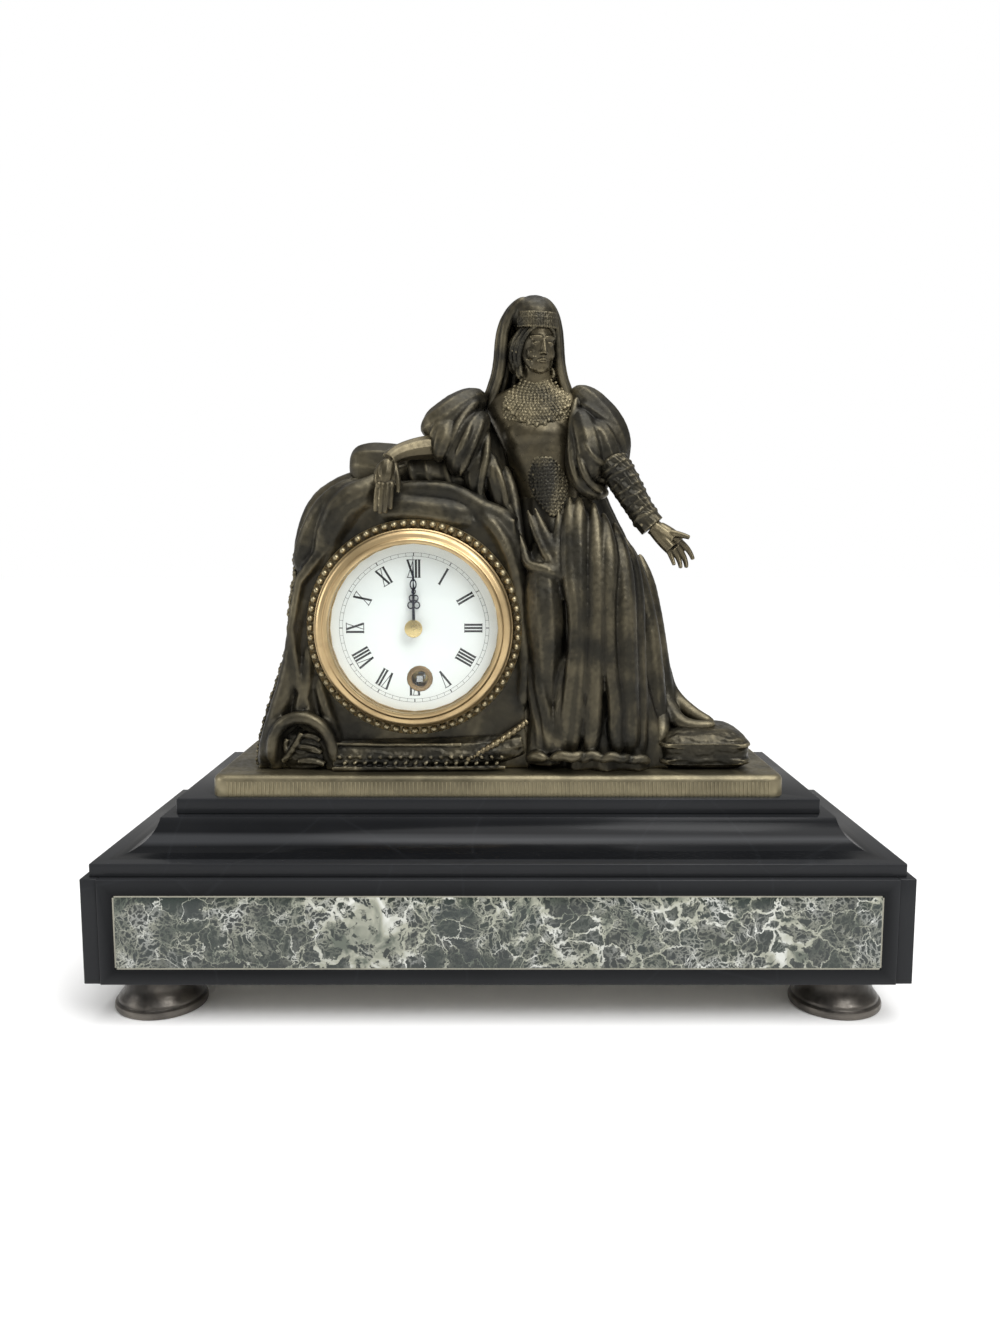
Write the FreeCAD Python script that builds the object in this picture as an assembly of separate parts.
"""A figural mantel clock: slate plinth, bronze figure and drum case, round spring-driven movement.

Millimetres. X runs to the right, the front faces -Y, Z is up, and the feet stand on Z = 0.
Every size that can be set by itself is named below. Tables of shares are fractions of the size they follow.
"""
import FreeCAD, Part
import math
import os

# Overrun of every cut, and the fits
overrun = 1.0
running_fit = 0.05
swing_gap = 0.3

# How closely the plane facets of round pieces follow their circles
facet_chord = 0.15
fewest_sides = 8
ring_sides = 28

# Plinth
plinth_width = 420.0
plinth_depth = 164.0
foot_height = 22.0
foot_radius = 24.0
foot_inset = 30.0
foot_stud_radius = 3.0
foot_stud_length = 12.0
block_height = 55.0
side_slab_thickness = 8.5
side_slab_setback = 1.3
front_slab_thickness = 12.0
back_slab_thickness = 10.0
inlay_width = 386.0
inlay_height = 37.5
inlay_thickness = 6.0
deck_height = 7.0
deck_setback = 4.0
cavetto_height = 16.5
cavetto_foot_setback = 11.5
cavetto_neck_setback = 32.0
top_slab_height = 8.5
top_slab_setback = 38.5
tie_rod_radius = 2.5
tie_rod_spacing = 190.0
tie_nut_radius = 5.5
tie_nut_height = 4.0

# Bronze base plate and the drum case
plate_width = 308.0
plate_front = 39.5
plate_back = 70.0
plate_height = 11.5
plate_corner_radius = 7.0
plate_edge_bevel = 2.5
case_height = 153.0
case_width = 150.0
case_right_edge = 17.5
case_front = 22.0
case_back = 46.0
figure_height = 258.0
figure_offset = 20.0

# Dial, bezel and rear door, all on the dial axis
dial_offset = -45.3
dial_centre_height = 78.0
dial_radius = 47.3
dial_thickness = 1.2
dial_front = 25.0
dial_boss_radius = 3.2
sight_radius = 45.3
bezel_radius = 53.3
bezel_front = 37.0
bezel_rear = 27.3
bezel_step = 2.2
bezel_lip = 1.5
glass_thickness = 2.2
glass_fit = 0.1
glass_bevel = 1.0
seat_ring_lip = 2.2
seat_ring_front = 25.7
seat_ring_depth = 8.0
bead_ring_radius = 58.2
bead_ring_thickness = 2.5
bead_count = 68
bead_length = 4.3
bead_height = 3.4
bore_radius = 46.0
hinge_inset = 2.8
hinge_depth = 29.6
hinge_pin_radius = 0.6
knuckle_radius = 1.2
knuckle_length = 6.0
hinge_lug_length = 3.0
lug_thickness = 1.6
door_ring_radius = 50.0
door_ring_thickness = 2.5
door_radius = 47.5
door_thickness = 1.5
door_hinge_reach = 2.2
door_knob_radius = 2.5
door_knob_length = 4.0

# Movement between its plates
movement_radius = 42.0
movement_front = 14.0
plate_gap = 20.0
movement_plate_thickness = 2.0
pillar_radius = 2.2
pillar_circle_radius = 36.5
pillar_tenon_radius = 1.2
pillar_nut_radius = 2.6
pillar_nut_height = 1.8
strap_width = 8.0
strap_thickness = 1.5
arbor_radius = 0.8
pivot_radius = 0.5
wheel_thickness = 1.0
pinion_length = 3.0
tooth_height_share = 0.9
tooth_depth_share = 1.15
wheel_root_share = 0.22
pinion_root_share = 0.17

FORWARD = FreeCAD.Vector(0, -1, 0)
BACKWARD = FreeCAD.Vector(0, 1, 0)
UP = FreeCAD.Vector(0, 0, 1)
RIGHT = FreeCAD.Vector(1, 0, 0)

# Levels and places worked out from the sizes
block_floor = foot_height
deck_floor = block_floor + block_height
cavetto_floor = deck_floor + deck_height
top_slab_floor = cavetto_floor + cavetto_height
plate_floor = top_slab_floor + top_slab_height
plate_top = plate_floor + plate_height
half_width = plinth_width / 2
half_depth = plinth_depth / 2
dial_height = plate_top + dial_centre_height
movement_back = plate_gap - movement_front + movement_plate_thickness
movement_rear = movement_back + movement_plate_thickness
hinge_x = dial_offset - bezel_radius + hinge_inset
door_floor = case_back + door_ring_thickness + swing_gap
door_hinge_x = dial_offset - door_radius - door_hinge_reach


def vec(x, y, z):
    """A point or direction."""
    return FreeCAD.Vector(x, y, z)


def block(low, high):
    """A box between two opposite corners."""
    return Part.makeBox(high[0] - low[0], high[1] - low[1], high[2] - low[2], vec(*low))


def sides_for(radius):
    """How many plane sides keep a round piece within the facet chord."""
    if radius <= 2 * facet_chord:
        return fewest_sides
    half_turns = math.pi / math.acos(1 - facet_chord / radius)
    return max(fewest_sides, 2 * math.ceil(half_turns / 2))


def rod(x, z, radius, front, back):
    """A round bar parallel to the dial axis, its corners on the radius."""
    return prism(polygon_points(x, z, radius, sides_for(radius)), front, back, BACKWARD)


def bore(x, z, radius, front, back):
    """A cutter for a round hole parallel to the dial axis, its flats on the radius."""
    sides = sides_for(radius)
    return prism(polygon_points(x, z, radius / math.cos(math.pi / sides), sides), front, back, BACKWARD)


def post(x, y, radius, low, high):
    """An upright round bar."""
    return prism(polygon_points(x, y, radius, sides_for(radius)), low, high, UP)


def post_hole(x, y, radius, low, high):
    """A cutter for an upright round hole."""
    sides = sides_for(radius)
    return prism(polygon_points(x, y, radius / math.cos(math.pi / sides), sides), low, high, UP)


def ring(x, z, outer, inner, front, back):
    """A flat ring about an axis parallel to the dial's."""
    return rod(x, z, outer, front, back).cut(bore(x, z, inner, front - overrun, back + overrun))


def disc(radius, front, back):
    """A large round slice on the dial axis; all of them share their number of sides, so they nest."""
    return prism(polygon_points(dial_offset, dial_height, radius, ring_sides), front, back, BACKWARD)


def disc_ring(outer, inner, front, back):
    """A large flat ring on the dial axis."""
    return disc(outer, front, back).cut(disc(inner, front - overrun, back + overrun))


def turned(profile):
    """A turned piece about the dial axis with plane sides, from a closed outline of (radius, y) points."""
    step = 2 * math.pi / ring_sides
    loops = []
    for radius, y in profile:
        loops.append([vec(dial_offset + radius * math.cos(i * step), y, dial_height + radius * math.sin(i * step))
                      for i in range(ring_sides)])
    faces = []
    for near, far in zip(loops, loops[1:] + loops[:1]):
        for i in range(ring_sides):
            j = (i + 1) % ring_sides
            faces.append(Part.Face(Part.makePolygon([near[i], near[j], far[j], far[i], near[i]])))
    shell = Part.makeShell(faces)
    shell.sewShape()
    solid = Part.makeSolid(shell)
    if solid.Volume < 0:
        solid.reverse()
    return solid


def polygon_points(x, y, radius, sides):
    """The corners of a regular polygon."""
    step = 2 * math.pi / sides
    return [(x + radius * math.cos(i * step), y + radius * math.sin(i * step)) for i in range(sides)]


def prism(points, low, high, direction):
    """A straight prism: XY points are raised along Z, or XZ points pushed back along Y."""
    if direction is UP:
        corners = [vec(a, b, low) for a, b in points]
    else:
        corners = [vec(a, low, b) for a, b in points]
    face = Part.Face(Part.makePolygon(corners + corners[:1]))
    return face.extrude(direction * (high - low))


def skin(rings):
    """A closed solid of plane facets over a stack of rings with as many points each."""
    count = len(rings[0])
    faces = []
    for low, high in zip(rings, rings[1:]):
        for i in range(count):
            j = (i + 1) % count
            faces.append(Part.Face(Part.makePolygon([low[i], low[j], high[j], low[i]])))
            faces.append(Part.Face(Part.makePolygon([low[i], high[j], high[i], low[i]])))
    faces.append(Part.Face(Part.makePolygon(rings[0] + rings[0][:1])))
    faces.append(Part.Face(Part.makePolygon(rings[-1] + rings[-1][:1])))
    shell = Part.makeShell(faces)
    shell.sewShape()
    solid = Part.makeSolid(shell)
    if solid.Volume < 0:
        solid.reverse()
    return solid


def faceted_turning(profile, x, y, sides):
    """An upright turned piece with plane sides, from (radius, z) points."""
    step = 2 * math.pi / sides
    rings = []
    for radius, z in profile:
        rings.append([vec(x + radius * math.cos(i * step), y + radius * math.sin(i * step), z)
                      for i in range(sides)])
    shell_faces = [Part.Face(Part.makePolygon(rings[0] + rings[0][:1])),
                   Part.Face(Part.makePolygon(rings[-1] + rings[-1][:1]))]
    for low, high in zip(rings, rings[1:]):
        for i in range(sides):
            j = (i + 1) % sides
            shell_faces.append(Part.Face(Part.makePolygon([low[i], low[j], high[j], high[i], low[i]])))
    shell = Part.makeShell(shell_faces)
    shell.sewShape()
    solid = Part.makeSolid(shell)
    if solid.Volume < 0:
        solid.reverse()
    return solid


def without(body, *others):
    """The body with the others cut out of it."""
    for other in others:
        body = body.cut(other)
    return body


def main_solid(shape):
    """The largest solid of a cut shape."""
    return max(shape.Solids, key=lambda solid: solid.Volume)


def plinth():
    """The slate-veneered plinth, flat at the back, moulded at the front and sides."""
    parts = {}
    slab_x = half_width - side_slab_thickness
    front = -half_depth
    parts["front_slab"] = block((-slab_x, front, block_floor), (slab_x, front + front_slab_thickness, deck_floor))
    inlay_floor = block_floor + (block_height - inlay_height) / 2
    inlay = block((-inlay_width / 2, front, inlay_floor),
                  (inlay_width / 2, front + inlay_thickness, inlay_floor + inlay_height))
    parts["marble_inlay"] = inlay
    parts["front_slab"] = parts["front_slab"].cut(inlay)
    side_front = front + side_slab_setback
    parts["side_slab_left"] = block((-half_width, side_front, block_floor), (-slab_x, half_depth, deck_floor))
    parts["side_slab_right"] = block((slab_x, side_front, block_floor), (half_width, half_depth, deck_floor))
    back_face = half_depth - back_slab_thickness
    parts["back_slab"] = block((-slab_x, back_face, block_floor), (slab_x, half_depth, deck_floor))
    core = block((-slab_x, front + front_slab_thickness, block_floor), (slab_x, back_face, deck_floor))
    edge = half_width - deck_setback
    deck = block((-edge, front + deck_setback, deck_floor), (edge, half_depth, cavetto_floor))
    cavetto = cavetto_moulding()
    edge = half_width - top_slab_setback
    top = block((-edge, front + top_slab_setback, top_slab_floor), (edge, half_depth, plate_floor))
    holes = []
    bolts = []
    for x in (-tie_rod_spacing / 2, tie_rod_spacing / 2):
        hole = post(x, 0, tie_rod_radius, block_floor, plate_floor)
        holes.append(hole)
        nut = prism(polygon_points(x, 0, tie_nut_radius, 6), block_floor, block_floor + tie_nut_height, UP)
        core = core.cut(nut)
        bolts.append(hole.fuse(nut))
    for x, y, name in foot_places():
        foot = faceted_turning(foot_profile(), x, y, foot_sides)
        stud = post(x, y, foot_stud_radius, block_floor, block_floor + foot_stud_length)
        parts[name] = foot.fuse(stud).removeSplitter()
        core = core.cut(stud)
    parts["plinth_core"] = without(core, *holes)
    parts["deck_slab"] = without(deck, *holes)
    parts["cavetto_moulding"] = without(cavetto, *holes)
    parts["top_slab"] = without(top, *holes)
    parts["tie_rods"] = Part.makeCompound(bolts)
    return parts


foot_sides = 18
foot_profile_shares = ((0.93, 0.0), (1.0, 0.14), (0.9, 0.28), (0.54, 0.48), (0.54, 0.76), (0.78, 0.86), (0.78, 1.0))


def foot_profile():
    """The foot's outline: a flared rim, a dished waist and a neck under the block."""
    return [(radius_share * foot_radius, level_share * foot_height)
            for radius_share, level_share in foot_profile_shares]


def foot_places():
    """The four feet, named as seen from the front."""
    x = half_width - foot_inset
    y = half_depth - foot_inset
    return ((-x, -y, "foot_front_left"), (x, -y, "foot_front_right"),
            (-x, y, "foot_back_left"), (x, y, "foot_back_right"))


def hollow_edge(place, side):
    """The hollow quarter curve of the moulding's edge; place(distance, level) gives a point, side its hand."""
    run = cavetto_neck_setback - cavetto_foot_setback
    radius = (run ** 2 + cavetto_height ** 2) / (2 * cavetto_height)
    half_angle = math.asin(run / radius) / 2
    middle_setback = cavetto_foot_setback + radius * math.sin(half_angle)
    middle_level = cavetto_floor + radius * (1 - math.cos(half_angle))
    start = place(side * -cavetto_foot_setback, cavetto_floor)
    middle = place(side * -middle_setback, middle_level)
    end = place(side * -cavetto_neck_setback, top_slab_floor)
    return Part.Arc(start, middle, end).toShape(), start, end


def cavetto_moulding():
    """A hollow quarter-round moulding that returns along the sides and is flat at the back."""
    right, right_foot, right_neck = hollow_edge(lambda d, z: vec(half_width + d, -half_depth, z), 1)
    left, left_foot, left_neck = hollow_edge(lambda d, z: vec(-half_width + d, -half_depth, z), -1)
    ends = Part.Wire([right, Part.LineSegment(right_neck, left_neck).toShape(), left,
                      Part.LineSegment(left_foot, right_foot).toShape()])
    across = Part.Face(ends).extrude(vec(0, plinth_depth, 0))
    front, front_foot, front_neck = hollow_edge(lambda d, z: vec(-half_width, -half_depth + d, z), -1)
    back_neck = vec(-half_width, half_depth, top_slab_floor)
    back_foot = vec(-half_width, half_depth, cavetto_floor)
    flank = Part.Wire([front, Part.LineSegment(front_neck, back_neck).toShape(),
                       Part.LineSegment(back_neck, back_foot).toShape(),
                       Part.LineSegment(back_foot, front_foot).toShape()])
    along = Part.Face(flank).extrude(vec(plinth_width, 0, 0))
    return main_solid(across.common(along))


def place(x_share, y_share, level_share):
    """A point of the figure, in shares of its height, from the foot of its own axis."""
    return vec(figure_offset + x_share * figure_height, y_share * figure_height,
               plate_top + level_share * figure_height)


def draped(rows, points, folds, fold_share, twist):
    """A cloth form: level rings about (x, y) with half width and depth, waved by folds round the form."""
    rings = []
    for level, x, y, half_w, half_d in rows:
        loop = []
        for i in range(points):
            turn = 2 * math.pi * i / points
            wave = 1 + fold_share * math.cos(folds * turn + twist * level)
            loop.append(place(x + half_w * wave * math.cos(turn), y + half_d * wave * math.sin(turn), level))
        rings.append(loop)
    return skin(rings)


def limb(rows, sides):
    """A tapering limb along a path: rows of (x, y, level, half width, half thickness) in figure shares."""
    centres = [place(x, y, level) for x, y, level, wide, thick in rows]
    rings = []
    for i, (x, y, level, wide, thick) in enumerate(rows):
        along = centres[min(i + 1, len(rows) - 1)] - centres[max(i - 1, 0)]
        along.normalize()
        across = along.cross(BACKWARD)
        across.normalize()
        over = along.cross(across)
        loop = []
        for k in range(sides):
            turn = 2 * math.pi * k / sides
            loop.append(centres[i] + across * (wide * figure_height * math.cos(turn))
                        + over * (thick * figure_height * math.sin(turn)))
        rings.append(loop)
    return skin(rings)


# Figure tables: level, x, y, half width, half depth, as shares of the figure's height
skirt_shares = ((0.0, 0.163, 0.008, 0.171, 0.124), (0.04, 0.158, 0.006, 0.162, 0.116),
                (0.12, 0.145, 0.004, 0.148, 0.11), (0.23, 0.124, 0.0, 0.136, 0.105),
                (0.33, 0.1, -0.004, 0.125, 0.104), (0.42, 0.079, 0.0, 0.111, 0.092),
                (0.5, 0.054, 0.004, 0.097, 0.078), (0.57, 0.031, 0.008, 0.066, 0.054))
knee_shares = ((0.03, -0.03, 0.5, 0.04, 0.035), (0.02, -0.062, 0.43, 0.044, 0.044),
               (0.014, -0.085, 0.34, 0.043, 0.046), (0.012, -0.07, 0.24, 0.036, 0.04),
               (0.014, -0.062, 0.1, 0.036, 0.044), (0.014, -0.06, -0.02, 0.04, 0.05))
skirt_fold_shares = (
    ((0.07, -0.05, 0.56, 0.01, 0.01), (0.075, -0.092, 0.42, 0.013, 0.018), (0.07, -0.105, 0.2, 0.014, 0.02),
     (0.062, -0.11, -0.02, 0.018, 0.022)),
    ((0.1, -0.035, 0.54, 0.01, 0.012), (0.125, -0.08, 0.4, 0.014, 0.018), (0.14, -0.095, 0.2, 0.016, 0.02),
     (0.16, -0.1, -0.02, 0.02, 0.024)),
    ((0.112, 0.0, 0.53, 0.01, 0.012), (0.165, -0.035, 0.38, 0.014, 0.016), (0.205, -0.055, 0.2, 0.016, 0.02),
     (0.245, -0.06, -0.02, 0.018, 0.022)))
case_fold_paths = (
    ((-0.26, -0.066, 0.575, 0.014, 0.012), (-0.36, -0.078, 0.555, 0.018, 0.016), (-0.435, -0.084, 0.47, 0.018, 0.018),
     (-0.492, -0.086, 0.4, 0.013, 0.018), (-0.512, -0.086, 0.3, 0.012, 0.018), (-0.5, -0.086, 0.2, 0.013, 0.018),
     (-0.47, -0.086, 0.1, 0.016, 0.018)),
    ((-0.555, -0.08, -0.02, 0.014, 0.018), (-0.545, -0.088, 0.07, 0.016, 0.018), (-0.5, -0.09, 0.108, 0.016, 0.018),
     (-0.45, -0.09, 0.075, 0.014, 0.018), (-0.425, -0.088, -0.02, 0.014, 0.018)))
fold_sides = 5
knee_sides = 8
skirt_points = 24
skirt_folds = 6
skirt_fold_share = 0.05
skirt_twist = 6.0
mantle_points = 16
mantle_folds = 5
mantle_fold_share = 0.05
mantle_twist = 4.0
veil_points = 12
veil_folds = 4
veil_fold_share = 0.02
veil_twist = 2.0
bodice_points = 20
cushion_points = 20
cushion_sides = 16
arm_sides = 10
no_folds = 0
bodice_shares = ((0.57, 0.031, 0.008, 0.066, 0.054), (0.64, 0.016, 0.004, 0.078, 0.062),
                 (0.69, 0.008, 0.0, 0.089, 0.068), (0.745, 0.0, 0.008, 0.108, 0.056),
                 (0.775, 0.0, 0.01, 0.1, 0.043), (0.79, 0.0, 0.01, 0.06, 0.037),
                 (0.805, 0.0, 0.006, 0.034, 0.033), (0.832, 0.0, 0.002, 0.029, 0.029))
mantle_shares = ((0.0, 0.178, 0.078, 0.194, 0.101), (0.08, 0.17, 0.078, 0.185, 0.095),
                 (0.17, 0.12, 0.074, 0.171, 0.09), (0.31, 0.097, 0.07, 0.155, 0.085),
                 (0.44, 0.081, 0.066, 0.151, 0.08), (0.56, 0.05, 0.06, 0.124, 0.07),
                 (0.68, 0.016, 0.055, 0.108, 0.055), (0.76, 0.0, 0.05, 0.105, 0.035))
veil_shares = ((0.72, -0.005, 0.052, 0.1, 0.03), (0.775, -0.005, 0.045, 0.1, 0.04),
               (0.81, -0.004, 0.03, 0.095, 0.052), (0.85, -0.002, 0.014, 0.08, 0.066),
               (0.9, 0.0, 0.006, 0.073, 0.07), (0.94, 0.0, 0.002, 0.066, 0.066),
               (0.97, 0.0, 0.002, 0.053, 0.052), (0.99, 0.0, 0.002, 0.034, 0.034),
               (1.0, 0.0, 0.002, 0.01, 0.01))
veil_window_shares = (0.047, -0.03, 0.84, 0.952)
head_shares = ((0.822, -0.01, 0.017, 0.02, 0.0), (0.833, -0.01, 0.03, 0.038, 0.006),
               (0.842, -0.01, 0.036, 0.046, 0.002), (0.852, -0.01, 0.041, 0.05, 0.006),
               (0.866, -0.01, 0.044, 0.052, 0.012), (0.885, -0.01, 0.046, 0.056, 0.003),
               (0.9, -0.008, 0.047, 0.057, 0.002), (0.92, -0.006, 0.046, 0.055, 0.0),
               (0.945, -0.004, 0.038, 0.046, 0.0), (0.962, -0.002, 0.02, 0.026, 0.0))
train_cushion_shares = ((0.0, 0.345, -0.004, 0.104, 0.088), (0.02, 0.345, -0.004, 0.116, 0.099),
                        (0.05, 0.345, -0.004, 0.116, 0.099), (0.076, 0.342, -0.002, 0.104, 0.086),
                        (0.088, 0.34, 0.0, 0.078, 0.062))
arm_cushion_shares = ((-0.4, 0.01, 0.642, 0.02, 0.02), (-0.39, 0.01, 0.642, 0.042, 0.042),
                      (-0.365, 0.01, 0.641, 0.056, 0.056), (-0.33, 0.01, 0.637, 0.059, 0.057),
                      (-0.27, 0.01, 0.629, 0.062, 0.059), (-0.2, 0.01, 0.618, 0.064, 0.062),
                      (-0.14, 0.01, 0.61, 0.056, 0.054), (-0.11, 0.01, 0.608, 0.032, 0.03))
leaning_arm_shares = ((-0.075, 0.02, 0.745, 0.04, 0.04), (-0.13, 0.008, 0.735, 0.064, 0.05),
                      (-0.18, 0.0, 0.715, 0.07, 0.056), (-0.225, -0.012, 0.698, 0.056, 0.05),
                      (-0.265, -0.035, 0.688, 0.036, 0.036), (-0.295, -0.058, 0.682, 0.027, 0.026),
                      (-0.312, -0.08, 0.665, 0.021, 0.02), (-0.318, -0.094, 0.64, 0.026, 0.014),
                      (-0.317, -0.1, 0.612, 0.027, 0.013))
reaching_arm_shares = ((0.1, 0.016, 0.755, 0.045, 0.042), (0.135, 0.008, 0.727, 0.062, 0.052),
                       (0.163, 0.0, 0.68, 0.068, 0.056), (0.178, -0.015, 0.634, 0.054, 0.047),
                       (0.2, -0.028, 0.588, 0.038, 0.035), (0.232, -0.045, 0.541, 0.031, 0.028),
                       (0.26, -0.058, 0.506, 0.024, 0.021), (0.278, -0.064, 0.49, 0.024, 0.014),
                       (0.3, -0.072, 0.474, 0.027, 0.012))
finger_sides = 5
finger_width_share = 0.0068
finger_tip_share = 0.0046
hanging_fingers_shares = ((-0.337, -0.318, -0.332), (-0.325, -0.316, -0.324), (-0.312, -0.314, -0.315),
                          (-0.3, -0.312, -0.305))
open_fingers_shares = ((0.34, 0.445, -0.078), (0.345, 0.43, -0.086), (0.328, 0.42, -0.092), (0.303, 0.43, -0.096))


def head_form():
    """A plain head: an ovoid with a ridge for the nose and a rounded chin."""
    sides = 16
    rings = []
    for level, y, half_w, half_d, ridge in head_shares:
        loop = []
        for i in range(sides):
            turn = 2 * math.pi * i / sides
            front = max(0.0, -math.sin(turn)) ** 24
            loop.append(place(half_w * math.cos(turn), y + (half_d + ridge * front) * math.sin(turn), level))
        rings.append(loop)
    return skin(rings)


def hanging_hand():
    """The four fingers and thumb of the hand that hangs over the front of the cushion."""
    digits = []
    for knuckle, middle, tip in hanging_fingers_shares:
        digits.append(limb(((knuckle, -0.099, 0.62, finger_width_share, finger_width_share),
                            (middle, -0.107, 0.575, finger_width_share, finger_width_share),
                            (tip, -0.105, 0.538, finger_tip_share, finger_tip_share)), finger_sides))
    digits.append(limb(((-0.293, -0.094, 0.65, finger_width_share, finger_width_share),
                        (-0.287, -0.108, 0.61, finger_width_share, finger_width_share),
                        (-0.288, -0.11, 0.585, finger_tip_share, finger_tip_share)), finger_sides))
    return digits


def open_hand():
    """The fanned fingers and thumb of the open hand."""
    digits = []
    for x, level, y in open_fingers_shares:
        digits.append(limb(((0.294, -0.071, 0.476, finger_width_share, finger_width_share),
                            ((0.294 + x) / 2, (y - 0.071) / 2, (0.476 + level) / 2,
                             finger_width_share, finger_width_share),
                            (x, y, level, finger_tip_share, finger_tip_share)), finger_sides))
    digits.append(limb(((0.284, -0.066, 0.488, finger_width_share, finger_width_share),
                        (0.31, -0.07, 0.495, finger_width_share, finger_width_share),
                        (0.336, -0.078, 0.49, finger_tip_share, finger_tip_share)), finger_sides))
    return digits


case_shares = ((0.0, 1.0, 0.0), (0.03, 0.99, 0.003), (0.2, 0.95, 0.017), (0.4, 0.9, 0.03), (0.6, 0.863, 0.04),
               (0.8, 0.797, 0.05), (0.89, 0.763, 0.057), (0.94, 0.737, 0.197), (1.0, 0.69, 0.283))
case_fold_share = 0.02
case_folds = 7
case_side_points = 6


def case_ring(level_share, left_share, right_share):
    """One level outline of the drum case: flat front and back, and a left side in drapery folds."""
    left = case_right_edge - left_share * case_width
    right = case_right_edge - right_share * case_width
    level = plate_top + level_share * case_height
    count = case_side_points
    depth = case_front + case_back
    loop = []
    for i in range(count):
        loop.append(vec(right, -case_front + depth * i / count, level))
    for i in range(count):
        loop.append(vec(right + (left - right) * i / count, case_back, level))
    for i in range(count):
        wave = math.sin(case_folds * (i / count + level_share / 2)) * math.sin(math.pi * i / count)
        loop.append(vec(left + wave * case_fold_share * case_width, case_back - depth * i / count, level))
    for i in range(count):
        loop.append(vec(left + (right - left) * i / count, -case_front, level))
    return loop


def case_body():
    """The draped block, bored from front to back for the movement."""
    solid = skin([case_ring(*row) for row in case_shares])
    return solid.cut(disc(bore_radius, -case_front - overrun, case_back + overrun))


def base_plate():
    """The bronze plate under the figure and the case, rounded at the corners and bevelled at the top edge."""
    levels = ((plate_floor, 0.0), (plate_top - plate_edge_bevel, 0.0), (plate_top, plate_edge_bevel))
    rings = []
    for level, inset in levels:
        loop = []
        for x_side, y_side, start in ((1, 1, 0), (-1, 1, 90), (-1, -1, 180), (1, -1, 270)):
            x = x_side * (plate_width / 2 - plate_corner_radius)
            y = plate_back - plate_corner_radius if y_side > 0 else plate_corner_radius - plate_front
            for step in range(plate_corner_facets + 1):
                turn = math.radians(start + 90 * step / plate_corner_facets)
                reach = plate_corner_radius - inset
                loop.append(vec(x + reach * math.cos(turn), y + reach * math.sin(turn), level))
        rings.append(loop)
    return skin(rings)


plate_corner_facets = 4


def castings():
    """The bronze castings: each one seats face to face on those it is fixed to."""
    parts = {}
    parts["base_plate"] = base_plate()
    arm_cushion = limb(arm_cushion_shares, cushion_sides)
    case = case_body()
    for rows in case_fold_paths:
        case = case.fuse(limb(rows, fold_sides))
    case = main_solid(without(case, arm_cushion, parts["base_plate"]))
    skirt = draped(skirt_shares, skirt_points, skirt_folds, skirt_fold_share, skirt_twist).fuse(limb(knee_shares, knee_sides))
    for rows in skirt_fold_shares:
        skirt = skirt.fuse(limb(rows, fold_sides))
    skirt = main_solid(without(skirt, case, parts["base_plate"]))
    bodice = draped(bodice_shares, bodice_points, no_folds, no_folds, no_folds)
    head = main_solid(head_form().cut(bodice))
    veil = draped(veil_shares, veil_points, veil_folds, veil_fold_share, veil_twist)
    half_window, window_back, window_floor, window_top = veil_window_shares
    low = place(-half_window, window_back - 1, window_floor)
    high = place(half_window, window_back, window_top)
    window = block((low.x, low.y, low.z), (high.x, high.y, high.z))
    veil = main_solid(without(veil, head, bodice, window))
    leaning = limb(leaning_arm_shares, arm_sides)
    for digit in hanging_hand():
        leaning = leaning.fuse(digit)
    leaning = main_solid(without(leaning, bodice, arm_cushion, case, veil))
    reaching = limb(reaching_arm_shares, arm_sides)
    for digit in open_hand():
        reaching = reaching.fuse(digit)
    reaching = main_solid(without(reaching, bodice, veil, skirt))
    mantle = draped(mantle_shares, mantle_points, mantle_folds, mantle_fold_share, mantle_twist)
    mantle = main_solid(without(mantle, skirt, bodice, case, veil, leaning, reaching, arm_cushion))
    cushion = draped(train_cushion_shares, cushion_points, no_folds, no_folds, no_folds)
    parts["train_cushion"] = main_solid(without(cushion, skirt, mantle))
    parts["arm_cushion"] = arm_cushion
    parts["clock_case"] = case
    parts["skirt"] = skirt
    parts["bodice"] = bodice
    parts["head"] = head
    parts["veil"] = veil
    parts["leaning_arm"] = leaning
    parts["reaching_arm"] = reaching
    parts["mantle"] = mantle
    return parts


def bead_ring():
    """The beaded ring round the bezel: a flat ring that carries faceted beads."""
    back = -case_front
    front = back - bead_ring_thickness
    inner = bezel_radius + swing_gap
    band = disc_ring(bead_ring_radius, inner, front, back)
    middle = (bead_ring_radius + inner) / 2
    beads = []
    for i in range(bead_count):
        turn = 2 * math.pi * i / bead_count
        beads.append(bead(dial_offset + middle * math.cos(turn), dial_height + middle * math.sin(turn), front))
    return band, beads


bead_sides = 4


def bead(x, z, seat):
    """One bead: a pointed stud of plane facets on the ring's face."""
    base = [vec(a, seat, b) for a, b in polygon_points(x, z, bead_length / 2, bead_sides)]
    point = vec(x, seat - bead_height, z)
    faces = [Part.Face(Part.makePolygon(base + base[:1]))]
    for near, far in zip(base, base[1:] + base[:1]):
        faces.append(Part.Face(Part.makePolygon([near, far, point, near])))
    shell = Part.makeShell(faces)
    shell.sewShape()
    return Part.makeSolid(shell)


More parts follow.
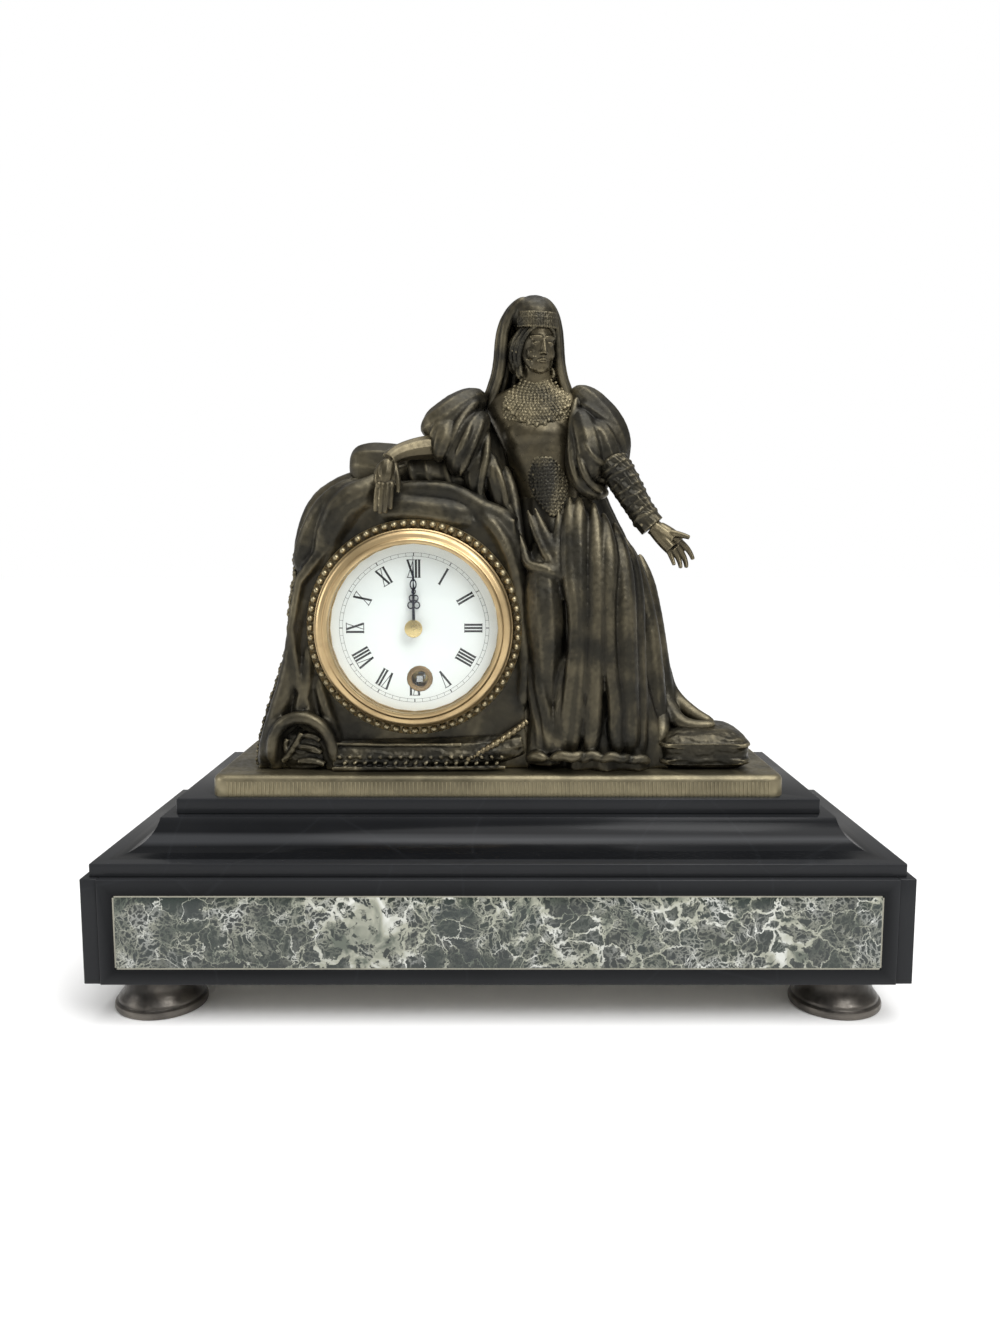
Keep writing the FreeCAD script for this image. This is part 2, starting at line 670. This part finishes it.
def seat_ring():
    """The plain ring that the bezel closes on and the enamel dial sits in, let into the case's bore."""
    rim = bezel_radius
    lip = sight_radius + seat_ring_lip
    lip_front = -bezel_rear + swing_gap
    dial_back = dial_thickness - dial_front
    profile = ((lip, lip_front), (lip, -seat_ring_front), (rim, -seat_ring_front), (rim, -case_front),
               (bore_radius, -case_front), (bore_radius, seat_ring_depth - case_front),
               (movement_radius, seat_ring_depth - case_front), (movement_radius, dial_back),
               (dial_radius_fit, dial_back), (dial_radius_fit, lip_front))
    solid = turned(profile)
    reach = hinge_x - knuckle_radius
    for side in (-1, 1):
        low = dial_height + side * (knuckle_length / 2 + running_fit) + min(0, side) * hinge_lug_length
        lug = post(hinge_x, -hinge_depth, knuckle_radius, low, low + hinge_lug_length)
        neck = block((reach + knuckle_radius - lug_thickness / 2, -hinge_depth, low),
                     (reach + knuckle_radius + lug_thickness / 2, -seat_ring_front, low + hinge_lug_length))
        solid = solid.fuse(lug).fuse(neck)
    return solid.cut(post_hole(hinge_x, -hinge_depth, hinge_pin_radius, *hinge_span(dial_height)))


dial_radius_fit = sight_radius - glass_fit


def hinge_pin(x, y, low, high):
    """An upright round pin."""
    return Part.makeCylinder(hinge_pin_radius, high - low, vec(x, y, low), UP)


def hinge_span(level):
    """The levels that a hinge pin runs between."""
    reach = knuckle_length / 2 + running_fit + hinge_lug_length
    return level - reach, level + reach


def bezel():
    """The gilt bezel: stepped front, rebate for the glass, and a knuckle between the ring's two lugs."""
    rebate = glass_radius()
    seat = bezel_lip - bezel_front
    glass_back = seat + glass_thickness
    profile = ((sight_radius, -bezel_front), (bezel_radius - 2 * bezel_step, -bezel_front),
               (bezel_radius - bezel_step, bezel_step - bezel_front),
               (bezel_radius, bezel_step * 2 - bezel_front), (bezel_radius, -bezel_rear),
               (rebate, -bezel_rear), (rebate, seat), (sight_radius, seat))
    solid = turned(profile)
    low, high = hinge_span(dial_height)
    clear = seat_ring_depth
    notch_front = -hinge_depth - (hinge_depth - seat_ring_front) * math.sin(math.radians(20)) - lug_thickness / 2
    notch_front = notch_front - swing_gap
    inner = hinge_x + knuckle_radius + swing_gap
    for side in (-1, 1):
        inside = dial_height + side * knuckle_length / 2
        outside = (high if side > 0 else low) + side * swing_gap
        notch = block((hinge_x - clear, notch_front, min(inside, outside)),
                      (inner, -bezel_rear + overrun, max(inside, outside)))
        solid = solid.cut(notch)
    hole = post_hole(hinge_x, -hinge_depth, hinge_pin_radius + running_fit, low - clear, high + clear)
    return main_solid(solid.cut(hole)), glass_back


def glass_radius():
    """The glass runs a little into the bezel beyond the sight opening."""
    return sight_radius + bezel_lip


def bezel_glass():
    """The flat glass with a bevelled edge at the front, behind the bezel's lip."""
    radius = glass_radius()
    seat = bezel_lip - bezel_front
    return disc(radius, seat, seat + glass_thickness)


def dial():
    """The enamel dial, with its centre hole and winding hole."""
    face = disc(dial_radius_fit, -dial_front, dial_thickness - dial_front)
    x, z = winding_place()
    centre = bore(dial_offset, dial_height, dial_boss_radius, -dial_front - overrun, overrun)
    return without(face, centre, bore(x, z, collet_outer_radius, -dial_front - overrun, overrun))


def rear_door_parts():
    """The rear ring, the door and its pull, hinged at one side."""
    knuckle = door_hinge_gap
    door_back = door_floor + door_thickness
    ring_back = case_back + door_ring_thickness
    hinge_y = ring_back + knuckle_radius + swing_gap
    rim = disc_ring(door_ring_radius, bore_radius, case_back, ring_back)
    leaf = disc(door_radius, door_floor, door_back)
    low, high = hinge_span(dial_height)
    half = knuckle_length / 2
    tongue = block((door_hinge_x, door_floor, dial_height - half),
                   (dial_offset - door_radius + door_hinge_reach, door_back, dial_height + half))
    barrel_piece = post(door_hinge_x, hinge_y, knuckle_radius, dial_height - half, dial_height + half)
    pull = rod(dial_offset + door_radius - 3 * door_knob_radius, dial_height, door_knob_radius, door_back,
               door_back + door_knob_length)
    hole = post_hole(door_hinge_x, hinge_y, hinge_pin_radius + running_fit, low, high)
    leaf = leaf.fuse(tongue).fuse(barrel_piece).fuse(pull).cut(hole)
    for side in (-1, 1):
        foot = dial_height + side * (half + running_fit) + min(0, side) * hinge_lug_length
        lug = post(door_hinge_x, hinge_y, knuckle_radius, foot, foot + hinge_lug_length)
        neck = block((door_hinge_x - knuckle_radius, case_back, foot),
                     (door_hinge_x + knuckle, hinge_y, foot + hinge_lug_length))
        rim = rim.fuse(neck).fuse(lug)
        clear = block((door_hinge_x - knuckle_radius - knuckle, ring_back, foot - knuckle),
                      (door_hinge_x + knuckle_radius + knuckle, door_back + overrun,
                       foot + hinge_lug_length + knuckle))
        leaf = leaf.cut(clear_of_tongue(clear, half))
    pin = hinge_pin(door_hinge_x, hinge_y, low, high)
    eye = post_hole(door_hinge_x, hinge_y, hinge_pin_radius, low, high)
    return rim.cut(eye), main_solid(leaf), pin


door_hinge_gap = 0.4


def clear_of_tongue(clear, half):
    """The part of a clearance box that lies outside the tongue's own levels."""
    box = clear.BoundBox
    own = block((box.XMin, box.YMin, dial_height - half), (box.XMax, box.YMax, dial_height + half))
    return clear.cut(own)


collet_outer_radius = 7.0
collet_bore_radius = 4.2
collet_thickness = 1.6
winding_square_side = 3.3
winding_arbor_radius = 2.75
winding_offset = (2.8, -27.5)


def winding_place():
    """The winding arbor's axis."""
    return dial_offset + winding_offset[0], dial_height + winding_offset[1]


def clock_front():
    """Everything at the front and back openings of the case, apart from hands and movement."""
    parts = {}
    band, beads = bead_ring()
    parts["beaded_ring"] = band.multiFuse(beads)
    parts["dial_ring"] = seat_ring()
    parts["bezel"], glass_back = bezel()
    parts["bezel_glass"] = bezel_glass()
    low, high = hinge_span(dial_height)
    front_pin = hinge_pin(hinge_x, -hinge_depth, low, high)
    parts["enamel_dial"] = dial()
    x, z = winding_place()
    parts["winding_collet"] = ring(x, z, collet_outer_radius, collet_bore_radius,
                                   -dial_front - collet_thickness / 2, -dial_front + dial_thickness)
    parts["rear_ring"], parts["rear_door"], rear_pin = rear_door_parts()
    parts["hinge_pins"] = Part.makeCompound([front_pin, rear_pin])
    return parts


# Going train: teeth and modules, and where each arbor stands from the dial's centre
barrel_teeth = 32
barrel_module = 0.76
intermediate_pinion_teeth = 8
intermediate_teeth = 48
intermediate_module = 0.5
centre_pinion_teeth = 6
centre_teeth = 48
centre_module = 0.45
third_pinion_teeth = 6
third_teeth = 45
third_module = 0.42
fourth_pinion_teeth = 6
fourth_teeth = 48
fourth_module = 0.36
escape_pinion_teeth = 6
escape_teeth = 15
escape_radius = 5.5
motion_module = 0.5
cannon_teeth = 8
minute_teeth = 24
minute_pinion_teeth = 6
hour_teeth = 24
ratchet_teeth = 18
ratchet_radius = 6.0
third_direction = 35.0
fourth_direction = 120.0
escape_direction = 170.0
motion_direction = 200.0
balance_direction = 200.0
barrel_layer = -10.5
barrel_drum_radius = 11.6
barrel_drum_length = 11.5
barrel_wall = 0.8
barrel_cap = 1.0
intermediate_layer = 4.5
centre_layer = -8.5
third_layer = -4.5
fourth_layer = -0.5
motion_layer = -16.2
hour_layer = -18.6
cannon_outer_radius = 1.5
cannon_bore_radius = 0.85
cannon_front = 29.8
hour_pipe_outer_radius = 2.2
hour_pipe_front = 27.4
hour_hand_front = 27.0
minute_hand_front = 29.4
hand_thickness = 0.5
hour_hand_length = 24.8
minute_hand_length = 39.0
hand_width = 1.6
hand_boss_radius = 3.4
collet_radius = 4.8
collet_length = 1.6
centre_arbor_front = 31.4
winding_square_front = 26.0
platform_thickness = 1.0
platform_radius = 15.0
escape_layer = 12.4
balance_layer = 15.6
balance_radius = 8.5
balance_rim = 1.0
balance_gap = 0.5
cylinder_radius = 0.6
hairspring_layer = 17.4
hairspring_turns = 3
hairspring_inner_radius = 1.4
hairspring_outer_radius = 4.6
hairspring_width = 0.3
hairspring_height = 0.5
cock_layer = 19.0
escape_cock_layer = 13.5
escape_cock_thickness = 1.0
cock_thickness = 1.2
cock_foot_radius = 2.4
cock_reach = 11.5
ratchet_layer = 10.3
ratchet_thickness = 1.2
click_length = 7.5
click_width = 1.8
mainspring_turns = 4
mainspring_thickness = 0.5
mainspring_height = 8.0


def wheel_points(x, z, teeth, module, phase, height_share, depth_share, root_share):
    """The outline of a wheel with pointed ogival teeth: two root corners and one tip for each tooth."""
    pitch = teeth * module / 2
    step = 2 * math.pi / teeth
    points = []
    for i in range(teeth):
        centre = phase + i * step
        for turn, radius in ((-root_share * step, pitch - depth_share * module), (0, pitch + height_share * module),
                             (root_share * step, pitch - depth_share * module)):
            points.append((x + radius * math.cos(centre + turn), z + radius * math.sin(centre + turn)))
    return points


def gear(centre, teeth, module, phase, front, thickness, is_pinion):
    """A toothed disc parallel to the plates."""
    root_share = pinion_root_share if is_pinion else wheel_root_share
    points = wheel_points(dial_offset + centre[0], dial_height + centre[1], teeth, module, phase,
                          tooth_height_share, tooth_depth_share, root_share)
    return prism(points, front, front + thickness, BACKWARD)


def arbor(centre, radius, front, back):
    """A round arbor at a place given from the dial's centre."""
    return rod(dial_offset + centre[0], dial_height + centre[1], radius, front, back)


def shaft(centre, radius, front, back):
    """A true round shaft that turns in its bearings, at a place given from the dial's centre."""
    start = vec(dial_offset + centre[0], front, dial_height + centre[1])
    return Part.makeCylinder(radius, back - front, start, BACKWARD)


def socket(centre, radius, front, back):
    """A cutter for a round hole at a place given from the dial's centre."""
    return bore(dial_offset + centre[0], dial_height + centre[1], radius, front, back)


def stepped(start, distance, direction):
    """The place at a distance and direction in degrees from another."""
    turn = math.radians(direction)
    return start[0] + distance * math.cos(turn), start[1] + distance * math.sin(turn)


def mesh_phase(driver, driver_teeth, driver_phase, driven, driven_teeth):
    """The phase that puts a gap of the driven wheel on a tooth of the driver, on their line of centres."""
    line = math.atan2(driven[1] - driver[1], driven[0] - driver[0])
    driver_step = 2 * math.pi / driver_teeth
    driven_step = 2 * math.pi / driven_teeth
    ahead = ((line - driver_phase) / driver_step) % 1.0
    return line + math.pi + (ahead + 0.5) * driven_step


def distance(teeth, pinion_teeth, module):
    """Distance between the centres of a meshed pair."""
    return (teeth + pinion_teeth) * module / 2


centre_at = (0.0, 0.0)
barrel_at = winding_offset
to_barrel = math.hypot(*barrel_at)
first_reach = distance(barrel_teeth, intermediate_pinion_teeth, barrel_module)
second_reach = distance(intermediate_teeth, centre_pinion_teeth, intermediate_module)
second_angle = math.acos((to_barrel ** 2 + second_reach ** 2 - first_reach ** 2) / (2 * to_barrel * second_reach))
barrel_bearing = math.atan2(barrel_at[1], barrel_at[0])
intermediate_at = stepped(centre_at, second_reach, math.degrees(barrel_bearing - second_angle))
third_at = stepped(centre_at, distance(centre_teeth, third_pinion_teeth, centre_module), third_direction)
fourth_at = stepped(third_at, distance(third_teeth, fourth_pinion_teeth, third_module), fourth_direction)
escape_at = stepped(fourth_at, distance(fourth_teeth, escape_pinion_teeth, fourth_module), escape_direction)
minute_wheel_at = stepped(centre_at, distance(minute_teeth, cannon_teeth, motion_module), motion_direction)
balance_at = stepped(escape_at, escape_radius + cylinder_radius + balance_gap, balance_direction)
hour_module = motion_module * (minute_teeth + cannon_teeth) / (minute_pinion_teeth + hour_teeth)
plate_face = -movement_front


def wheel_set(at, layer, wheel, pinion, reach):
    """A wheel and its pinion on one arbor: (teeth, module, phase) each, the pinion on its own layer."""
    teeth, module, phase = wheel
    body = gear(at, teeth, module, phase, layer, wheel_thickness, False)
    teeth, module, phase, pinion_layer = pinion
    body = body.fuse(gear(at, teeth, module, phase, pinion_layer, pinion_length, True))
    body = body.fuse(arbor(at, arbor_radius, reach[0], reach[1]))
    return body.fuse(arbor(at, pivot_radius, reach[0] - movement_plate_thickness + running_fit,
                           reach[1] + movement_plate_thickness - running_fit))


def pinion_layer_for(wheel_layer):
    """A pinion that straddles the wheel that drives it."""
    return wheel_layer - (pinion_length - wheel_thickness) / 2


def going_train():
    """Barrel, intermediate, centre, third, fourth and escape wheels, and the motion work."""
    parts = {}
    inner_front = plate_face + movement_plate_thickness + running_fit
    inner_back = movement_back - running_fit
    span = (inner_front, inner_back)
    phase_i = mesh_phase(barrel_at, barrel_teeth, 0.0, intermediate_at, intermediate_pinion_teeth)
    parts["intermediate_wheel"] = wheel_set(
        intermediate_at, intermediate_layer, (intermediate_teeth, intermediate_module, 0.0),
        (intermediate_pinion_teeth, barrel_module, phase_i, pinion_layer_for(barrel_layer)), span)
    phase_c = mesh_phase(intermediate_at, intermediate_teeth, 0.0, centre_at, centre_pinion_teeth)
    centre = gear(centre_at, centre_teeth, centre_module, 0.0, centre_layer, wheel_thickness, False)
    centre = centre.fuse(gear(centre_at, centre_pinion_teeth, intermediate_module, phase_c,
                              pinion_layer_for(intermediate_layer), pinion_length, True))
    centre = centre.fuse(shaft(centre_at, arbor_radius, -centre_arbor_front, plate_face))
    centre = centre.fuse(arbor(centre_at, arbor_radius, plate_face, inner_back))
    centre = centre.fuse(arbor(centre_at, pivot_radius, inner_back, movement_rear - running_fit))
    parts["centre_wheel"] = centre
    phase_t = mesh_phase(centre_at, centre_teeth, 0.0, third_at, third_pinion_teeth)
    parts["third_wheel"] = wheel_set(third_at, third_layer, (third_teeth, third_module, 0.0),
                                     (third_pinion_teeth, centre_module, phase_t, pinion_layer_for(centre_layer)),
                                     span)
    phase_f = mesh_phase(third_at, third_teeth, 0.0, fourth_at, fourth_pinion_teeth)
    parts["fourth_wheel"] = wheel_set(fourth_at, fourth_layer, (fourth_teeth, fourth_module, 0.0),
                                      (fourth_pinion_teeth, third_module, phase_f, pinion_layer_for(third_layer)),
                                      span)
    phase_e = mesh_phase(fourth_at, fourth_teeth, 0.0, escape_at, escape_pinion_teeth)
    escape = gear(escape_at, escape_pinion_teeth, fourth_module, phase_e, pinion_layer_for(fourth_layer),
                  pinion_length, True)
    escape = escape.fuse(arbor(escape_at, arbor_radius, inner_front, inner_back))
    escape = escape.fuse(arbor(escape_at, pivot_radius, plate_face + running_fit,
                                 escape_cock_layer + escape_cock_thickness - running_fit))
    teeth = escape_points()
    escape = escape.fuse(prism(teeth, escape_layer, escape_layer + wheel_thickness / 2, BACKWARD))
    parts["escape_wheel"] = escape
    phase_m = mesh_phase(centre_at, cannon_teeth, 0.0, minute_wheel_at, minute_teeth)
    cannon = gear(centre_at, cannon_teeth, motion_module, 0.0, motion_layer - wheel_thickness / 2,
                  2 * wheel_thickness - swing_gap, True)
    cannon = cannon.fuse(arbor(centre_at, cannon_outer_radius, -cannon_front, plate_face - swing_gap))
    parts["cannon_pinion"] = cannon.cut(socket(centre_at, arbor_radius, -cannon_front - overrun, plate_face))
    minute = gear(minute_wheel_at, minute_teeth, motion_module, phase_m, motion_layer, wheel_thickness, False)
    phase_h = mesh_phase(minute_wheel_at, minute_pinion_teeth, 0.0, centre_at, hour_teeth)
    minute = minute.fuse(gear(minute_wheel_at, minute_pinion_teeth, hour_module, 0.0,
                              hour_layer - wheel_thickness / 2, motion_layer - hour_layer, True))
    stud_hole = socket(minute_wheel_at, arbor_radius + running_fit, hour_layer - pinion_length, plate_face)
    parts["minute_wheel"] = main_solid(minute.cut(stud_hole))
    hour = gear(centre_at, hour_teeth, hour_module, phase_h, hour_layer, wheel_thickness, False)
    hour = hour.fuse(shaft(centre_at, hour_pipe_outer_radius, -hour_pipe_front, hour_layer + wheel_thickness))
    parts["hour_wheel"] = hour.cut(socket(centre_at, cannon_outer_radius + running_fit,
                                         -hour_pipe_front - overrun, plate_face))
    parts.update(barrel_parts(inner_front, inner_back))
    return parts


def escape_points():
    """The cylinder escape wheel's outline: raked teeth on thin stems."""
    x = dial_offset + escape_at[0]
    z = dial_height + escape_at[1]
    step = 2 * math.pi / escape_teeth
    points = []
    for i in range(escape_teeth):
        turn = i * step
        for share, radius_share in ((0.0, 0.72), (0.12, 1.0), (0.5, 0.92), (0.4, 0.72)):
            radius = radius_share * escape_radius
            points.append((x + radius * math.cos(turn + share * step), z + radius * math.sin(turn + share * step)))
    return points


def barrel_parts(inner_front, inner_back):
    """The going barrel with its spring, and the winding arbor with its square, ratchet and click."""
    parts = {}
    x, z = winding_place()
    drum_back = barrel_layer + barrel_drum_length
    barrel = gear(barrel_at, barrel_teeth, barrel_module, 0.0, barrel_layer, wheel_thickness, False)
    barrel = barrel.fuse(rod(x, z, barrel_drum_radius, barrel_layer, drum_back))
    cavity = bore(x, z, barrel_drum_radius - barrel_wall, barrel_layer + barrel_cap, drum_back - barrel_cap)
    hole = bore(x, z, winding_arbor_radius + running_fit, barrel_layer - overrun, drum_back + overrun)
    parts["barrel"] = without(barrel, cavity, hole)
    square = winding_square_side / 2
    winding = shaft(barrel_at, winding_arbor_radius, inner_front, inner_back)
    key_end = block((x - square, -winding_square_front, z - square), (x + square, inner_front, z + square))
    journal = rod(x, z, square, plate_face - overrun, movement_rear + running_fit)
    collar = rod(x, z, arbor_journal_radius, plate_face - overrun, inner_front)
    tail = rod(x, z, arbor_journal_radius, inner_back, ratchet_layer + ratchet_thickness)
    winding = winding.fuse(key_end).fuse(journal).fuse(collar).fuse(tail)
    ratchet_hole = bore(x, z, arbor_journal_radius, ratchet_layer, ratchet_layer + ratchet_thickness)
    parts["winding_arbor"] = winding
    parts["ratchet_wheel"] = prism(ratchet_points(x, z), ratchet_layer, ratchet_layer + ratchet_thickness,
                                   BACKWARD).cut(ratchet_hole)
    parts["mainspring"] = spiral(x, z, winding_arbor_radius + running_fit + mainspring_thickness,
                                 barrel_drum_radius - barrel_wall - mainspring_thickness, mainspring_turns,
                                 mainspring_thickness, barrel_layer + barrel_cap + swing_gap, mainspring_height)
    return parts


arbor_journal_radius = 2.4
spiral_sides = 10


def ratchet_points(x, z):
    """The ratchet's saw teeth."""
    step = 2 * math.pi / ratchet_teeth
    points = []
    for i in range(ratchet_teeth):
        for share, radius_share in ((0.0, 1.0), (0.08, 0.82)):
            turn = (i + share) * step
            radius = radius_share * ratchet_radius
            points.append((x + radius * math.cos(turn), z + radius * math.sin(turn)))
    return points


def spiral(x, z, inner, outer, turns, width, front, height):
    """A flat spiral spring as one strip of straight facets."""
    inside = []
    outside = []
    count = turns * spiral_sides
    for i in range(count + 1):
        turn = 2 * math.pi * i / spiral_sides
        radius = inner + (outer - inner) * i / count
        inside.append((x + (radius - width / 2) * math.cos(turn), z + (radius - width / 2) * math.sin(turn)))
        outside.append((x + (radius + width / 2) * math.cos(turn), z + (radius + width / 2) * math.sin(turn)))
    return prism(inside + outside[::-1], front, front + height, BACKWARD)


bearing_radius = 0.55
pillar_angles = (50.0, 140.0, 215.0, 325.0)
strap_length_share = 0.86
cock_turn = 60.0
click_turn = 25.0
click_gap = 0.3
click_pivot_radius = 1.0
click_spring_width = 0.5
click_spring_length = 9.0


def movement_frame():
    """The two plates with their pillars, nuts and straps, the platform and the balance cock."""
    parts = {}
    back_rear = movement_rear
    front = disc(movement_radius, plate_face, plate_face + movement_plate_thickness)
    back = disc(movement_radius, movement_back, back_rear)
    x, z = winding_place()
    pivots = (intermediate_at, third_at, fourth_at, escape_at)
    for at in pivots:
        hole = socket(at, bearing_radius, plate_face - overrun, back_rear + overrun)
        front = front.cut(hole)
        back = back.cut(hole)
    front = front.cut(socket(centre_at, arbor_radius + running_fit, plate_face - overrun, movement_back - overrun))
    back = back.cut(socket(centre_at, bearing_radius, movement_back - overrun, back_rear + overrun))
    journal = bore(x, z, arbor_journal_radius + running_fit, plate_face - overrun, back_rear + overrun)
    front = front.cut(journal)
    back = back.cut(journal)
    pillars = []
    nuts = []
    for angle in pillar_angles:
        at = stepped(centre_at, pillar_circle_radius, angle)
        tenon = arbor(at, pillar_tenon_radius, movement_back, back_rear + pillar_nut_height)
        pillars.append(arbor(at, pillar_radius, plate_face + movement_plate_thickness, movement_back).fuse(tenon))
        back = back.cut(tenon)
        corners = polygon_points(dial_offset + at[0], dial_height + at[1], pillar_nut_radius, 6)
        nuts.append(prism(corners, back_rear, back_rear + pillar_nut_height, BACKWARD).cut(tenon))
    stud = shaft(minute_wheel_at, arbor_radius, hour_layer - pinion_length / 2, plate_face)
    parts["front_plate"] = front.fuse(stud)
    click_stud = shaft(click_pivot_place(), click_pivot_radius, back_rear, ratchet_layer + ratchet_thickness)
    parts["back_plate"] = back.fuse(click_stud)
    parts["pillars"] = Part.makeCompound(pillars)
    parts["movement_nuts"] = Part.makeCompound(nuts)
    parts["movement_straps"] = straps()
    parts.update(platform())
    parts.update(click_work())
    return parts


def straps():
    """The two straps that run from the dial ring back to the rear ring and hold the clock in its case."""
    pieces = []
    inner = movement_radius + running_fit
    outer = inner + strap_thickness
    for side in (-1, 1):
        half = strap_width / 2
        band = disc_ring(outer, inner, seat_ring_depth - case_front, case_back)
        low = (dial_offset + min(0, side * outer), seat_ring_depth - case_front, dial_height - half)
        high = (dial_offset + max(0, side * outer), case_back, dial_height + half)
        pieces.append(band.common(block(low, high)))
    return Part.makeCompound(pieces)


def platform():
    """The escapement platform on the back plate, its cock, the balance wheel and its spring."""
    parts = {}
    middle = ((escape_at[0] + balance_at[0]) / 2, (escape_at[1] + balance_at[1]) / 2)
    top = movement_rear + platform_thickness
    bed = arbor(middle, platform_radius, movement_rear, top)
    bed = bed.cut(socket(escape_at, bearing_radius, movement_rear - overrun, top + overrun))
    parts["platform_plate"] = bed.cut(socket(balance_at, bearing_radius, movement_rear - overrun, top + overrun))
    staff = arbor(balance_at, pivot_radius, movement_rear + running_fit, cock_layer + cock_thickness - running_fit)
    staff = staff.fuse(arbor(balance_at, cylinder_radius, top + running_fit, cock_layer - running_fit))
    rim = ring(dial_offset + balance_at[0], dial_height + balance_at[1], balance_radius,
               balance_radius - balance_rim, balance_layer, balance_layer + wheel_thickness)
    arm = block((dial_offset + balance_at[0] - balance_radius + balance_rim / 2, balance_layer,
                 dial_height + balance_at[1] - cylinder_radius),
                (dial_offset + balance_at[0] + balance_radius - balance_rim / 2, balance_layer + wheel_thickness,
                 dial_height + balance_at[1] + cylinder_radius))
    parts["balance_wheel"] = staff.fuse(rim).fuse(arm)
    parts["hairspring"] = spiral(dial_offset + balance_at[0], dial_height + balance_at[1], hairspring_inner_radius,
                                 hairspring_outer_radius, hairspring_turns, hairspring_width, hairspring_layer,
                                 hairspring_height)
    cock_back = cock_layer + cock_thickness
    foot_at = stepped(balance_at, cock_reach, 180 - cock_turn)
    foot = arbor(foot_at, cock_foot_radius, top, cock_back)
    bridge = bar_between(foot_at, balance_at, cock_foot_radius, cock_layer, cock_back)
    escape_foot_at = stepped(escape_at, cock_reach - cock_foot_radius, cock_turn)
    escape_back = escape_cock_layer + escape_cock_thickness
    escape_foot = arbor(escape_foot_at, cock_foot_radius, top, escape_back)
    escape_bridge = bar_between(escape_foot_at, escape_at, cock_foot_radius, escape_cock_layer, escape_back)
    cock = foot.fuse(bridge).cut(socket(balance_at, bearing_radius, cock_layer - overrun, cock_back + overrun))
    other = escape_foot.fuse(escape_bridge)
    other = other.cut(socket(escape_at, bearing_radius, escape_cock_layer - overrun, escape_back + overrun))
    parts["platform_cocks"] = Part.makeCompound([cock, other])
    return parts


def bar_between(start, end, half, front, back):
    """A flat bar with a round end that runs from one place to another."""
    run = math.hypot(end[0] - start[0], end[1] - start[1])
    normal = ((start[1] - end[1]) / run * half, (end[0] - start[0]) / run * half)
    corners = []
    for at, side in ((start, 1), (end, 1), (end, -1), (start, -1)):
        corners.append((dial_offset + at[0] + side * normal[0], dial_height + at[1] + side * normal[1]))
    return prism(corners, front, back, BACKWARD).fuse(arbor(end, half, front, back))


def click_pivot_place():
    """Where the click's stud stands on the back plate."""
    return stepped(barrel_at, ratchet_radius + click_length, click_turn)


def click_work():
    """The click beside the ratchet's teeth and the bent spring that holds it in."""
    parts = {}
    ratchet_back = ratchet_layer + ratchet_thickness
    pivot_at = click_pivot_place()
    tip_at = stepped(barrel_at, ratchet_radius + click_gap, click_turn + click_turn / 2)
    bearing = math.atan2(tip_at[1] - pivot_at[1], tip_at[0] - pivot_at[0])
    half = click_width / 2
    side = (math.cos(bearing + math.pi / 2) * half, math.sin(bearing + math.pi / 2) * half)
    x, z = dial_offset, dial_height
    corners = [(x + pivot_at[0] + side[0], z + pivot_at[1] + side[1]), (x + tip_at[0], z + tip_at[1]),
               (x + pivot_at[0] - side[0], z + pivot_at[1] - side[1])]
    click = prism(corners, ratchet_layer, ratchet_back, BACKWARD)
    click = click.fuse(arbor(pivot_at, click_width, ratchet_layer, ratchet_back))
    hole = socket(pivot_at, click_pivot_radius + running_fit, ratchet_layer - overrun, ratchet_back + overrun)
    parts["click"] = click.cut(hole)
    root_at = stepped(pivot_at, click_spring_length, math.degrees(bearing) - 75)
    tail_at = stepped(pivot_at, click_width + click_gap + click_spring_width, math.degrees(bearing) - 75)
    leaf = bar_between(root_at, tail_at, click_spring_width, ratchet_layer, ratchet_back)
    parts["click_spring"] = leaf.fuse(arbor(root_at, click_width, movement_rear, ratchet_back))
    return parts


hour_hand_shares = ((0.0, 1.0), (0.45, 0.7), (0.58, 2.0), (0.7, 1.9), (0.76, 0.7), (0.85, 1.3), (1.0, 0.1))
minute_hand_shares = ((0.0, 1.0), (0.6, 0.75), (0.68, 1.3), (0.74, 0.7), (1.0, 0.1))


def hand(length, shares, front, bore, boss):
    """A flat hand pointing to twelve: an outline of (length, width) shares mirrored about its middle."""
    half = hand_width / 2
    left = []
    right = []
    for reach_share, width_share in shares:
        z = dial_height + reach_share * length
        right.append((dial_offset + width_share * half, z))
        left.append((dial_offset - width_share * half, z))
    blade = prism(right + left[::-1], -front, hand_thickness - front, BACKWARD)
    blade = blade.fuse(arbor(centre_at, boss, -front, hand_thickness - front))
    return blade.cut(socket(centre_at, bore, -front - overrun, overrun - front + hand_thickness))


def hands():
    """The two hands on their pipes and the brass collet that holds them."""
    parts = {}
    parts["hour_hand"] = hand(hour_hand_length, hour_hand_shares, hour_hand_front, hour_pipe_outer_radius,
                              hand_boss_radius)
    parts["minute_hand"] = hand(minute_hand_length, minute_hand_shares, minute_hand_front, cannon_outer_radius,
                                hand_boss_radius)
    collet = arbor(centre_at, collet_radius, -centre_arbor_front + running_fit, -cannon_front)
    parts["hand_collet"] = collet.cut(socket(centre_at, arbor_radius, -centre_arbor_front, -cannon_front))
    return parts


def clock():
    """Every piece of the clock, by name."""
    parts = plinth()
    parts.update(castings())
    parts.update(clock_front())
    parts.update(going_train())
    parts.update(movement_frame())
    parts.update(hands())
    return parts


def main():
    """Write one file for each piece."""
    os.makedirs("parts", exist_ok=True)
    for name, shape in clock().items():
        shape.exportStep(f"parts/{name}.step")
        print(name, shape.isValid(), len(shape.Solids), round(shape.Volume, 2))


main()
